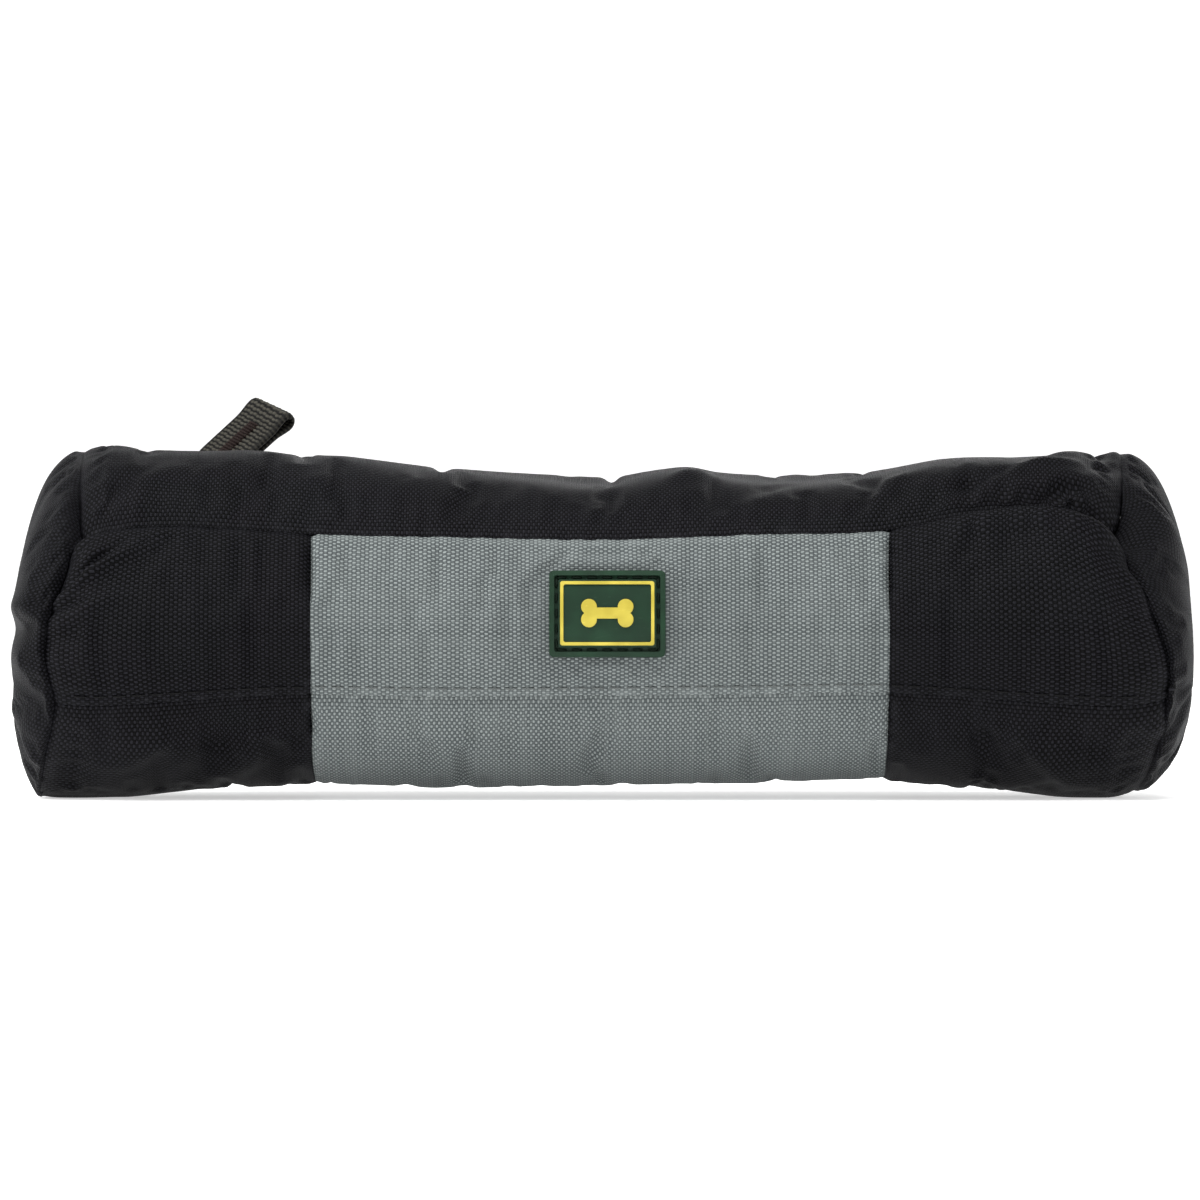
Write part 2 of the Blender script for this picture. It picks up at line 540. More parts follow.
class Cover:
    """The simulated cover, sampled wherever a panel needs it."""

    def __init__(self):
        self.x_lines = lines_through(X_MARKS, COARSE_STEP)
        self.angles = lines_through(ANGLE_MARKS, COARSE_STEP / MM_PER_DEGREE)
        self.turns = np.linspace(0, 84, 22)
        self.tube_move, self.cap_moves = simulate_cover(self.x_lines, self.angles, self.turns)

    def tube(self, x_lines, angles):
        """Skin of the roll with folds, before any panel's own seams."""
        x_grid, a_grid = np.meshgrid(x_lines, angles, indexing="ij")
        point = roll_shape(x_grid, a_grid)
        by_x, by_angle = between(self.x_lines, x_lines), between(self.angles, angles)
        point += np.einsum("pi,ijk,qj->pqk", by_x, self.tube_move, by_angle)
        from_zip = np.maximum(np.abs(a_grid - ZIP_ANGLE) - ZIP_HALF_OPENING, 0)
        calm = label_calm(x_grid, a_grid) * (1 - hump(from_zip, 6))
        height = fold_height(x_grid, a_grid * MM_PER_DEGREE) * calm
        normal = grid_normals(point)
        return x_grid, a_grid, point + height[..., None] * normal, normal

    def panel(self, x_lines, angles):
        x_grid, a_grid, point, normal = self.tube(x_lines, angles)
        edges = (angles[0], angles[-1], x_lines[0], x_lines[-1])
        height = seam_height(x_grid, a_grid, *edges)
        gaps = [(a_grid - edges[0]) * MM_PER_DEGREE, (edges[1] - a_grid) * MM_PER_DEGREE,
                x_grid - edges[2], edges[3] - x_grid]
        point = point + height[..., None] * normal
        point[..., 2] = np.maximum(point[..., 2], 0.02)
        return x_grid, a_grid, point, np.min(gaps, axis=0)

    def rim(self, side, angles):
        """Where the panels end, all the way round one end of the roll."""
        ring = np.zeros((len(angles), 3))
        near = side * (HALF_LENGTH - 0.6)
        ends = np.array(sorted((near, side * HALF_LENGTH)))
        for low, high in zip(ANGLE_MARKS, ANGLE_MARKS[1:]):
            inside = (angles >= low - 1e-6) & (angles <= high + 1e-6)
            if high - low > 3 * ZIP_HALF_OPENING:
                xs = (-HALF_LENGTH, -HALF_CENTRE) if side < 0 else (HALF_CENTRE, HALF_LENGTH)
                x_lines = np.array([xs[0], *ends, xs[1]]) if side > 0 else np.array([*ends, xs[1]])
                row = self.panel(np.unique(x_lines), angles[inside])[2][0 if side < 0 else -1]
            else:
                row = self.tube(ends, angles[inside])[2][0 if side < 0 else -1]
            ring[inside] = row
        return ring

    def cap(self, side, angles, turns):
        t_grid, a_grid = np.meshgrid(turns, angles, indexing="ij")
        point = cap_shape(side, a_grid, t_grid)
        move = self.cap_moves[0 if side < 0 else 1]
        by_turn = between(self.turns, np.minimum(turns, self.turns[-1]))
        by_angle = between(self.angles, angles)
        fade = np.clip((90 - t_grid) / 25, 0, 1)
        point += np.einsum("pi,ijk,qj->pqk", by_turn, move, by_angle) * fade[..., None]
        gap = t_grid * MM_PER_DEGREE
        ripple = 0.14 * pucker(a_grid * MM_PER_DEGREE, 3.0) * np.exp(-gap / 6)
        ripple += cap_fold_height(side, a_grid, t_grid)
        point = point + (ripple * (1 - hump(gap, 1.6)))[..., None] * cap_normal(side, a_grid, t_grid)
        point[..., 0] = np.clip(point[..., 0], LEFT_APEX_X - 0.2, RIGHT_APEX_X + 0.2)
        point = point + (self.rim(side, angles) - point[0]) * hump(gap, 2.2)[..., None]
        point[..., 2] = np.maximum(point[..., 2], 0.02)
        return t_grid, a_grid, point, gap


def label_calm(x_grid, a_grid):
    """0 under the label, 1 away from it."""
    away_x = np.maximum(np.abs(x_grid - LABEL_X) - 10.5, 0)
    away_a = np.maximum(np.abs(a_grid - LABEL_ANGLE) * MM_PER_DEGREE - 8, 0)
    return 1 - hump(np.hypot(away_x, away_a), 5)


def make_panel(cover, name, angles, xs, turned, material):
    x_lines = lines_through(xs, FINE_STEP)
    angle_lines = lines_through(angles, FINE_STEP / MM_PER_DEGREE)
    x_grid, a_grid, points, gap = cover.panel(x_lines, angle_lines)
    round_mm = a_grid * MM_PER_DEGREE
    uv = np.stack((round_mm, x_grid) if turned else (x_grid, round_mm), axis=-1)
    mesh = grid_mesh(name, points, uv)
    store_value(mesh, "seam_gap", gap)
    mesh.materials.append(material)
    obj = finish_object(name + "_cloth", mesh, ROLL)
    thicken(obj, CLOTH_THICKNESS)
    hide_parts(name)


def make_cap(cover, side, material):
    name = "end_cap_left" if side < 0 else "end_cap_right"
    angle_lines = lines_through(ANGLE_MARKS, FINE_STEP * 1.2 / MM_PER_DEGREE)
    turns = np.concatenate((np.linspace(0, 20, 20), np.linspace(21, 89.2, 50)))
    _, a_grid, points, gap = cover.cap(side, angle_lines, turns)
    along = np.zeros(points.shape[:2])
    along[1:] = np.cumsum(np.linalg.norm(np.diff(points, axis=0), axis=-1), axis=0)
    reach = along[-1].mean() + 1 - along
    turned = np.radians(a_grid)
    uv = np.stack((reach * np.cos(turned), reach * np.sin(turned)), axis=-1)
    mesh = grid_mesh(name, points, uv, closed=True, flip=side > 0)
    store_value(mesh, "seam_gap", gap)
    work = bmesh.new()
    work.from_mesh(mesh)
    work.verts.ensure_lookup_table()
    loose = [v for v in work.verts if not v.link_faces]
    bmesh.ops.delete(work, geom=loose, context="VERTS")
    boundary = [e for e in work.edges if e.is_boundary]
    centre = [e for e in boundary if all(abs(v.co.x) > (abs(LEFT_APEX_X) - 1.5) * MM for v in e.verts)]
    filled = bmesh.ops.contextual_create(work, geom=centre)
    bmesh.ops.poke(work, faces=filled["faces"])
    bmesh.ops.recalc_face_normals(work, faces=work.faces)
    work.to_mesh(mesh)
    work.free()
    mesh.polygons.foreach_set("use_smooth", [True] * len(mesh.polygons))
    mesh.materials.append(material)
    obj = finish_object(name + "_cloth", mesh, ROLL)
    thicken(obj, CLOTH_THICKNESS)
    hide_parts(name)


# ---------------------------------------------------------------- shared procedural effects

class Graph:
    """Short way to lay out shader nodes."""

    def __init__(self, tree):
        self.tree = tree

    def node(self, kind, values=(), **settings):
        made = self.tree.nodes.new(kind)
        for name, value in settings.items():
            setattr(made, name, value)
        for key, value in dict(values).items():
            self.put(made.inputs[key], value)
        return made

    def put(self, socket, value):
        if isinstance(value, bpy.types.NodeSocket):
            self.tree.links.new(value, socket)
        else:
            socket.default_value = value

    def math(self, operation, *values, clamp=False):
        made = self.tree.nodes.new("ShaderNodeMath")
        made.operation = operation
        made.use_clamp = clamp
        for socket, value in zip(made.inputs, values):
            self.put(socket, value)
        return made.outputs[0]

    def mix(self, share, a, b):
        made = self.node("ShaderNodeMix", data_type="RGBA")
        for socket, value in zip((made.inputs[0], made.inputs[6], made.inputs[7]), (share, a, b)):
            self.put(socket, value)
        return made.outputs[2]

    def noise(self, place, scale, detail=2.0, roughness=0.5):
        made = self.node("ShaderNodeTexNoise", {"Vector": place, "Scale": scale, "Detail": detail,
                                                "Roughness": roughness})
        return made.outputs["Fac"]

    def ramp(self, value, low, high):
        """0 below low, 1 above high, smooth between."""
        made = self.node("ShaderNodeMapRange", {"Value": value, "From Min": low, "From Max": high},
                         interpolation_type="SMOOTHSTEP")
        return made.outputs[0]


def effect(name, inputs, outputs, build):
    """A shared node group: inputs and outputs are (name, socket kind, default)."""
    tree = bpy.data.node_groups.new(name, "ShaderNodeTree")
    for label, kind, default in inputs:
        socket = tree.interface.new_socket(label, in_out="INPUT", socket_type=kind)
        if default is not None:
            socket.default_value = default
    for label, kind, _ in outputs:
        tree.interface.new_socket(label, in_out="OUTPUT", socket_type=kind)
    graph = Graph(tree)
    given = tree.nodes.new("NodeGroupInput").outputs
    results = build(graph, given)
    out = tree.nodes.new("NodeGroupOutput")
    for label, value in results.items():
        graph.put(out.inputs[label], value)
    return tree


FLOAT, VECTOR = "NodeSocketFloat", "NodeSocketVector"


def build_weave(g, given):
    """Plain weave: yarns over and under in a checkerboard, no two yarns quite alike."""
    wander = g.noise(given["Place"], 900.0, 1.0)
    place = g.node("ShaderNodeSeparateXYZ", {"Vector": given["Place"]}).outputs
    u = g.math("ADD", g.math("DIVIDE", place["X"], given["Warp Width"]), g.math("MULTIPLY", wander, 0.3))
    v = g.math("ADD", g.math("DIVIDE", place["Y"], given["Weft Width"]), g.math("MULTIPLY", wander, 0.35))
    iu, iv = g.math("FLOOR", u), g.math("FLOOR", v)
    fu = g.math("SUBTRACT", g.math("MULTIPLY", g.math("FRACT", u), 2.0), 1.0)
    fv = g.math("SUBTRACT", g.math("MULTIPLY", g.math("FRACT", v), 2.0), 1.0)
    across_u = g.math("SUBTRACT", 1.0, g.math("MULTIPLY", fu, fu))
    across_v = g.math("SUBTRACT", 1.0, g.math("MULTIPLY", fv, fv))
    over = g.math("PINGPONG", g.math("ADD", iu, iv), 1.0)
    over = g.math("GREATER_THAN", over, 0.5)
    warp = g.math("MULTIPLY", g.math("SQRT", across_u), g.math("MULTIPLY_ADD", across_v, 0.5, 0.5))
    weft = g.math("MULTIPLY", g.math("SQRT", across_v), g.math("MULTIPLY_ADD", across_u, 0.5, 0.5))
    sunk = g.math("MULTIPLY", g.math("SUBTRACT", 1.0, over), 0.72)
    height = g.math("ADD", g.math("MULTIPLY", over, warp), g.math("MULTIPLY", sunk, weft))
    warp_tone = g.node("ShaderNodeTexWhiteNoise", {"W": iu}, noise_dimensions="1D").outputs["Value"]
    weft_tone = g.node("ShaderNodeTexWhiteNoise", {"W": iv}, noise_dimensions="1D").outputs["Value"]
    strand = g.node("ShaderNodeMapping",
                    {"Vector": given["Place"], "Scale": (9000.0, 9000.0, 9000.0)}).outputs[0]
    fibre = g.noise(strand, 1.0, 2.0, 0.6)
    tone = g.math("ADD", g.math("MULTIPLY", over, warp_tone),
                  g.math("MULTIPLY", g.math("SUBTRACT", 1.0, over), weft_tone))
    return {"Height": g.math("MULTIPLY_ADD", fibre, 0.18, height), "Warp Over": over, "Yarn Tone": tone,
            "Fibre": fibre}


weave = effect("plain_weave",
               [("Place", VECTOR, None), ("Warp Width", FLOAT, 0.0007), ("Weft Width", FLOAT, 0.00043)],
               [("Height", FLOAT, None), ("Warp Over", FLOAT, None), ("Yarn Tone", FLOAT, None),
                ("Fibre", FLOAT, None)],
               build_weave)


def build_wear(g, given):
    """Slow changes of tone over a cloth, a paler rub near its seams and a little dust and lint."""
    slow = g.ramp(g.noise(given["Place"], 45.0, 3.0), 0.3, 0.7)
    near = g.math("SUBTRACT", 1.0, g.ramp(given["Seam Gap"], 0.0, 2.5))
    rub = g.math("MULTIPLY", near, g.ramp(g.noise(given["Place"], 420.0, 3.0), 0.42, 0.75))
    lint = g.ramp(g.noise(given["Place"], 1900.0, 4.0, 0.7), 0.68, 0.8)
    return {"Slow": slow, "Rub": rub, "Lint": lint}


wear = effect("cloth_wear", [("Place", VECTOR, None), ("Seam Gap", FLOAT, 10.0)],
              [("Slow", FLOAT, None), ("Rub", FLOAT, None), ("Lint", FLOAT, None)], build_wear)


def build_metal_wear(g, given):
    """Paint worn on corners and scratched, over bare metal."""
    speck = g.noise(given["Place"], 1500.0, 4.0, 0.65)
    scratch_place = g.node("ShaderNodeMapping",
                           {"Vector": given["Place"], "Scale": (300.0, 2600.0, 2600.0)}).outputs[0]
    scratch = g.ramp(g.noise(scratch_place, 1.0, 2.0), 0.62, 0.68)
    edge = g.ramp(given["Pointiness"], 0.6, 0.74)
    bare = g.math("MAXIMUM", g.math("MULTIPLY", edge, g.ramp(speck, 0.54, 0.7)),
                  g.math("MULTIPLY", scratch, 0.16))
    return {"Bare": bare, "Speck": speck}


metal_wear = effect("painted_metal_wear", [("Place", VECTOR, None), ("Pointiness", FLOAT, 0.5)],
                    [("Bare", FLOAT, None), ("Speck", FLOAT, None)], build_metal_wear)


def build_moulded(g, given):
    """Fine moulded skin of rubber or ink, with a few scuffs."""
    grain = g.noise(given["Place"], 5200.0, 3.0, 0.6)
    scuff_place = g.node("ShaderNodeMapping",
                         {"Vector": given["Place"], "Scale": (500.0, 500.0, 1700.0)}).outputs[0]
    scuff = g.ramp(g.noise(scuff_place, 1.0, 3.0), 0.6, 0.75)
    slow = g.noise(given["Place"], 160.0, 2.0)
    return {"Grain": grain, "Scuff": scuff, "Slow": slow}


moulded = effect("moulded_skin", [("Place", VECTOR, None)],
                 [("Grain", FLOAT, None), ("Scuff", FLOAT, None), ("Slow", FLOAT, None)], build_moulded)


def start_material(name):
    material = bpy.data.materials.new(name)
    material.use_nodes = True
    return Graph(material.node_tree), material.node_tree.nodes["Principled BSDF"], material


def use(g, tree, values):
    made = g.node("ShaderNodeGroup", node_tree=tree)
    for key, value in values.items():
        g.put(made.inputs[key], value)
    return made.outputs


def rgb(red, green, blue):
    """Linear colour from the 0 to 255 values of a display."""
    def linear(value):
        share = value / 255
        return share / 12.92 if share <= 0.04045 else ((share + 0.055) / 1.055) ** 2.4
    return (linear(red), linear(green), linear(blue), 1.0)


def woven(name, dark, light, warp_width, weft_width, depth, roughness, sheen, sheen_tint):
    """Woven nylon or polyester: dark between its yarns, light on top of them."""
    g, shader, material = start_material(name)
    place = g.node("ShaderNodeUVMap", uv_map="cloth").outputs[0]
    gap = g.node("ShaderNodeAttribute", attribute_name="seam_gap").outputs["Fac"]
    cloth = use(g, weave, {"Place": place, "Warp Width": warp_width, "Weft Width": weft_width})
    spot = g.node("ShaderNodeNewGeometry").outputs["Position"]
    worn = use(g, wear, {"Place": spot, "Seam Gap": gap})
    shade = g.math("MULTIPLY", g.ramp(cloth["Height"], 0.25, 1.05),
                   g.math("MULTIPLY_ADD", cloth["Warp Over"], 0.75, 0.3))
    shade = g.math("MULTIPLY_ADD", cloth["Yarn Tone"], 0.18, shade)
    shade = g.math("MULTIPLY_ADD", worn["Slow"], 0.1, g.math("SUBTRACT", shade, 0.14), clamp=True)
    colour = g.mix(shade, dark, light)
    pale = tuple(min(1.0, c * 1.6 + 0.01) for c in light[:3]) + (1.0,)
    colour = g.mix(g.math("MULTIPLY", worn["Rub"], 0.22), colour, pale)
    colour = g.mix(g.math("MULTIPLY", worn["Lint"], 0.35), colour, pale)
    g.put(shader.inputs["Base Color"], colour)
    g.put(shader.inputs["Roughness"],
          g.math("MULTIPLY_ADD", cloth["Fibre"], 0.16, roughness - 0.08, clamp=True))
    bump = g.node("ShaderNodeBump", {"Height": cloth["Height"], "Distance": depth, "Strength": 1.0})
    g.put(shader.inputs["Normal"], bump.outputs[0])
    shader.inputs["Sheen Weight"].default_value = sheen
    shader.inputs["Sheen Roughness"].default_value = 0.45
    shader.inputs["Sheen Tint"].default_value = sheen_tint
    shader.inputs["Specular IOR Level"].default_value = 0.05
    return material


def painted_metal(name, paint, metal, roughness):
    g, shader, material = start_material(name)
    spot = g.node("ShaderNodeNewGeometry").outputs
    worn = use(g, metal_wear, {"Place": spot["Position"], "Pointiness": spot["Pointiness"]})
    g.put(shader.inputs["Base Color"], g.mix(worn["Bare"], paint, metal))
    g.put(shader.inputs["Metallic"], g.math("MULTIPLY_ADD", worn["Bare"], 0.8, 0.2, clamp=True))
    g.put(shader.inputs["Roughness"],
          g.math("MULTIPLY_ADD", worn["Speck"], 0.2, roughness - 0.1, clamp=True))
    bump = g.node("ShaderNodeBump", {"Height": worn["Speck"], "Distance": 0.00002, "Strength": 0.6})
    g.put(shader.inputs["Normal"], bump.outputs[0])
    return material


def rubber(name, dark, light, roughness, depth):
    g, shader, material = start_material(name)
    spot = g.node("ShaderNodeNewGeometry").outputs["Position"]
    skin = use(g, moulded, {"Place": spot})
    colour = g.mix(g.ramp(skin["Slow"], 0.35, 0.65), dark, light)
    pale = tuple(min(1.0, c * 1.3 + 0.02) for c in light[:3]) + (1.0,)
    g.put(shader.inputs["Base Color"], g.mix(g.math("MULTIPLY", skin["Scuff"], 0.25), colour, pale))
    g.put(shader.inputs["Roughness"],
          g.math("MULTIPLY_ADD", skin["Grain"], 0.2, roughness - 0.1, clamp=True))
    bump = g.node("ShaderNodeBump", {"Height": skin["Grain"], "Distance": depth, "Strength": 0.7})
    g.put(shader.inputs["Normal"], bump.outputs[0])
    shader.inputs["Specular IOR Level"].default_value = 0.22
    return material


def thread(name, dark, light):
    """Twisted sewing thread; its UV map runs along the thread, then round it."""
    g, shader, material = start_material(name)
    place = g.node("ShaderNodeUVMap", uv_map="cloth").outputs[0]
    parts = g.node("ShaderNodeSeparateXYZ", {"Vector": place}).outputs
    turn = g.math("ADD", g.math("DIVIDE", parts["X"], 0.0005), g.math("MULTIPLY", parts["Y"], 3.0))
    ply = g.math("PINGPONG", turn, 0.5)
    spot = g.node("ShaderNodeNewGeometry").outputs["Position"]
    skin = use(g, moulded, {"Place": spot})
    shade = g.math("MULTIPLY_ADD", ply, 1.4, g.math("MULTIPLY", skin["Grain"], 0.3), clamp=True)
    g.put(shader.inputs["Base Color"], g.mix(shade, dark, light))
    g.put(shader.inputs["Roughness"], g.math("MULTIPLY_ADD", skin["Grain"], 0.2, 0.55))
    bump = g.node("ShaderNodeBump", {"Height": shade, "Distance": 0.00006, "Strength": 0.8})
    g.put(shader.inputs["Normal"], bump.outputs[0])
    shader.inputs["Specular IOR Level"].default_value = 0.12
    return material


def ribbed(name, dark, light):
    """Heavy webbing: dark between its ribs, with fine yarns along each rib."""
    g, shader, material = start_material(name)
    place = g.node("ShaderNodeUVMap", uv_map="cloth").outputs[0]
    rib = g.node("ShaderNodeAttribute", attribute_name="rib_height").outputs["Fac"]
    cloth = use(g, weave, {"Place": place, "Warp Width": 0.0003, "Weft Width": 0.0004})
    shade = g.math("MULTIPLY", g.ramp(rib, 0.35, 1.0), g.math("MULTIPLY_ADD", cloth["Height"], 0.5, 0.6))
    shade = g.math("MULTIPLY_ADD", cloth["Yarn Tone"], 0.15, g.math("SUBTRACT", shade, 0.08), clamp=True)
    g.put(shader.inputs["Base Color"], g.mix(shade, dark, light))
    g.put(shader.inputs["Roughness"], g.math("MULTIPLY_ADD", cloth["Fibre"], 0.2, 0.45))
    bump = g.node("ShaderNodeBump", {"Height": cloth["Height"], "Distance": 0.00008, "Strength": 0.8})
    g.put(shader.inputs["Normal"], bump.outputs[0])
    shader.inputs["Specular IOR Level"].default_value = 0.1
    return material


def fibres(name, dark, light):
    g, shader, material = start_material(name)
    spot = g.node("ShaderNodeNewGeometry").outputs["Position"]
    tuft = g.noise(spot, 260.0, 5.0, 0.7)
    worn = use(g, wear, {"Place": spot, "Seam Gap": 10.0})
    g.put(shader.inputs["Base Color"], g.mix(g.ramp(tuft, 0.3, 0.7), dark, light))
    g.put(shader.inputs["Roughness"], g.math("MULTIPLY_ADD", worn["Slow"], 0.1, 0.85))
    bump = g.node("ShaderNodeBump", {"Height": tuft, "Distance": 0.001, "Strength": 0.9})
    g.put(shader.inputs["Normal"], bump.outputs[0])
    shader.inputs["Sheen Weight"].default_value = 0.4
    return material


WEAVE_WIDE, WEAVE_NARROW, WEAVE_DEPTH = 0.00071, 0.00043, 0.00016
black = woven("black_oxford", rgb(0, 0, 0), rgb(27, 27, 31), WEAVE_WIDE, WEAVE_NARROW, WEAVE_DEPTH, 0.55,
              0.0, (0.8, 0.85, 1, 1))
grey = woven("grey_oxford", rgb(64, 69, 70), rgb(126, 132, 131), WEAVE_WIDE, WEAVE_NARROW, WEAVE_DEPTH, 0.66,
             0.03, (1, 1, 1, 1))
binding_cloth = woven("binding_tape", rgb(12, 12, 13), rgb(44, 44, 46), 0.0005, 0.0004, 0.0001, 0.8, 0.1,
                      (1, 1, 1, 1))
liner_cloth = woven("liner_cloth", rgb(60, 60, 60), rgb(120, 120, 118), 0.0004, 0.0004, 0.00008, 0.8, 0.1,
                    (1, 1, 1, 1))
tape_cloth = woven("zip_tape", rgb(8, 8, 9), rgb(36, 36, 38), 0.0009, 0.00035, 0.00014, 0.75, 0.15,
                   (1, 1, 1, 1))
webbing = ribbed("webbing", rgb(2, 2, 2), rgb(66, 64, 57))
fill_fibre = fibres("fill_fibre", rgb(170, 170, 165), rgb(235, 235, 230))
coil_plastic = rubber("zip_coil", rgb(10, 10, 11), rgb(26, 26, 28), 0.38, 0.00001)
metal_paint = painted_metal("zip_metal", rgb(20, 20, 21), rgb(84, 83, 80), 0.36)
label_rubber = rubber("label_rubber", rgb(8, 36, 20), rgb(14, 46, 27), 0.55, 0.00002)
label_print = rubber("label_print", rgb(160, 146, 52), rgb(190, 174, 72), 0.45, 0.00001)
label_thread = thread("label_thread", rgb(2, 8, 4), rgb(12, 30, 18))
dark_thread = thread("dark_thread", rgb(0, 0, 0), rgb(15, 15, 17))
brown_thread = thread("brown_thread", rgb(10, 5, 4), rgb(38, 24, 21))
grey_thread = thread("grey_thread", rgb(58, 62, 62), rgb(112, 116, 115))


# ---------------------------------------------------------------- cover panels and caps

cover = Cover()
for band, low_angle, high_angle, turned in PANELS:
    for place, low_x, high_x, slot_name in LENGTHS:
        cloth = grey if slot_name == "grey_fabric" else black
        make_panel(cover, f"{band}_{place}", (low_angle, high_angle), (low_x, high_x), turned,
                   cloth)
make_panel(cover, "top_panel", (FRONT_SEAM, ZIP_FRONT_EDGE), (-HALF_LENGTH, HALF_LENGTH),
           True, black)
make_panel(cover, "back_panel", (ZIP_BACK_EDGE, BACK_SEAM_AGAIN), (-HALF_LENGTH, HALF_LENGTH),
           False, black)
for side in (-1, 1):
    make_cap(cover, side, black)


# ---------------------------------------------------------------- inside the cover

ZIP_ROOM_DEPTH = 4.6
ZIP_ROOM_HALF_ANGLE = 17.0


def under_cover(x_lines, angles, depth, zip_room):
    """A skin that follows the cover from inside, pressed in under its seams and the zip."""
    x_grid, a_grid = np.meshgrid(x_lines, angles, indexing="ij")
    point = roll_shape(x_grid, a_grid)
    seam_gap = np.min([np.abs(a_grid - mark) for mark in ANGLE_MARKS], axis=0) * MM_PER_DEGREE
    inset = depth + 3.6 * hump(seam_gap, 5)
    inset = inset + zip_room * hump(np.maximum(np.abs(a_grid - ZIP_ANGLE) / ZIP_ROOM_HALF_ANGLE - 0.8, 0),
                                    0.4)
    away = np.stack((np.zeros_like(x_grid), point[..., 1] - AXIS_Y, point[..., 2] - AXIS_Z), axis=-1)
    far = np.linalg.norm(away, axis=-1, keepdims=True)
    point = point - away / far * inset[..., None]
    point[..., 2] = np.maximum(point[..., 2], depth * 0.5)
    return point, np.stack((x_grid, a_grid * MM_PER_DEGREE), axis=-1)


def make_inner_body(name, depth, material, piece):
    angles = lines_through(ANGLE_MARKS, 4.0 / MM_PER_DEGREE)
    half = HALF_LENGTH - depth
    point, _ = under_cover(lines_through([-half, half], 4.0), angles, depth, ZIP_ROOM_DEPTH)
    rings = [None, point, None]
    for end, ring in ((0, point[0]), (2, point[-1])):
        middle = ring[:-1].mean(axis=0)
        sign = -1 if end == 0 else 1
        bulge = abs(LEFT_APEX_X) - HALF_LENGTH - 1
        grown = []
        for t in np.radians(np.linspace(12, 88, 8)):
            swelled = np.array((sign * bulge * math.sin(t), 0, 0))
            grown.append(middle + (ring - middle) * math.cos(t) + swelled)
        grown = np.array(grown)
        rings[end] = grown[::-1] if end == 0 else grown
    whole = np.concatenate(rings)
    round_mm = np.broadcast_to(angles * MM_PER_DEGREE, whole.shape[:2])
    mesh = grid_mesh(piece, whole, np.stack((whole[..., 0], round_mm), axis=-1), closed=True)
    store_value(mesh, "seam_gap", np.full(whole.shape[:2], 10.0))
    mesh.materials.append(material)
    obj = finish_object(piece, mesh, ROLL)
    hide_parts(name)
    return obj


liner = make_inner_body("inner_liner", 3.0, liner_cloth, "inner_liner_cloth")
thicken(liner, 0.4)
wadding = make_inner_body("fibre_fill", 3.8, fill_fibre, "fibre_wadding")


def make_binding(side):
    name = "cap_binding_left" if side < 0 else "cap_binding_right"
    angles = lines_through(ANGLE_MARKS, 2.0 / MM_PER_DEGREE)
    near, far = side * (HALF_LENGTH - 1.0), side * (HALF_LENGTH - 8.5)
    x_lines = np.linspace(min(near, far), max(near, far), 9)
    point, uv = under_cover(x_lines, angles, 1.9, 2.5)
    mesh = grid_mesh(name, point, uv, closed=True)
    store_value(mesh, "seam_gap", np.full(point.shape[:2], 10.0))
    mesh.materials.append(binding_cloth)
    obj = finish_object(name + "_tape", mesh, ROLL)
    thicken(obj, 0.5)
    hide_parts(name)


for side in (-1, 1):
    make_binding(side)


# ---------------------------------------------------------------- small rounded tubes: stitches and coil

TUBE_SIDES = 8


def tube_ring(centres, radius, squash, up):
    """Points and UV of a tube along a line of centres, closed to a point at both ends."""
    centres = np.asarray(centres, float)
    run = np.gradient(centres, axis=0)
    run /= np.linalg.norm(run, axis=1, keepdims=True)
    up = np.asarray(up, float)
    side = np.cross(run, up)
    side /= np.maximum(np.linalg.norm(side, axis=1, keepdims=True), 1e-9)
    lift = np.cross(side, run)
    turn = np.linspace(0, 2 * math.pi, TUBE_SIDES + 1)
    share = np.linspace(-1, 1, len(centres))
    swell = np.sqrt(np.clip(1 - np.abs(share) ** 6, 0.02, 1))
    around_it = np.cos(turn)[None, :, None] * side[:, None]
    around_it = around_it + squash * np.sin(turn)[None, :, None] * lift[:, None]
    points = centres[:, None] + radius * swell[:, None, None] * around_it
    length = np.concatenate(([0], np.cumsum(np.linalg.norm(np.diff(centres, axis=0), axis=1))))
    uv = np.stack(np.meshgrid(length, turn / (2 * math.pi) / MM, indexing="ij"), axis=-1)
    return points, uv


def tubes_mesh(name, tubes):
    """One mesh from several tubes."""
    points, uvs, quads = [], [], []
    start = 0
    for point, uv in tubes:
        rows, columns = point.shape[:2]
        index = start + np.arange(rows * columns).reshape(rows, columns)
        quads.append(np.stack((index[:-1, :-1], index[:-1, 1:], index[1:, 1:], index[1:, :-1]),
                              axis=-1).reshape(-1, 4))
        corner = np.stack((uv[:-1, :-1], uv[:-1, 1:], uv[1:, 1:], uv[1:, :-1]), axis=-2).reshape(-1, 4, 2)
        uvs.append(corner)
        points.append(point.reshape(-1, 3))
        start += rows * columns
    mesh = bpy.data.meshes.new(name)
    mesh.from_pydata((np.concatenate(points) * MM).tolist(), [], np.concatenate(quads).tolist())
    layer = mesh.uv_layers.new(name="cloth")
    layer.data.foreach_set("uv", (np.concatenate(uvs) * MM).reshape(-1))
    work = bmesh.new()
    work.from_mesh(mesh)
    bmesh.ops.remove_doubles(work, verts=work.verts, dist=1e-7)
    bmesh.ops.recalc_face_normals(work, faces=work.faces)
    work.to_mesh(mesh)
    work.free()
    mesh.polygons.foreach_set("use_smooth", [True] * len(mesh.polygons))
    return mesh


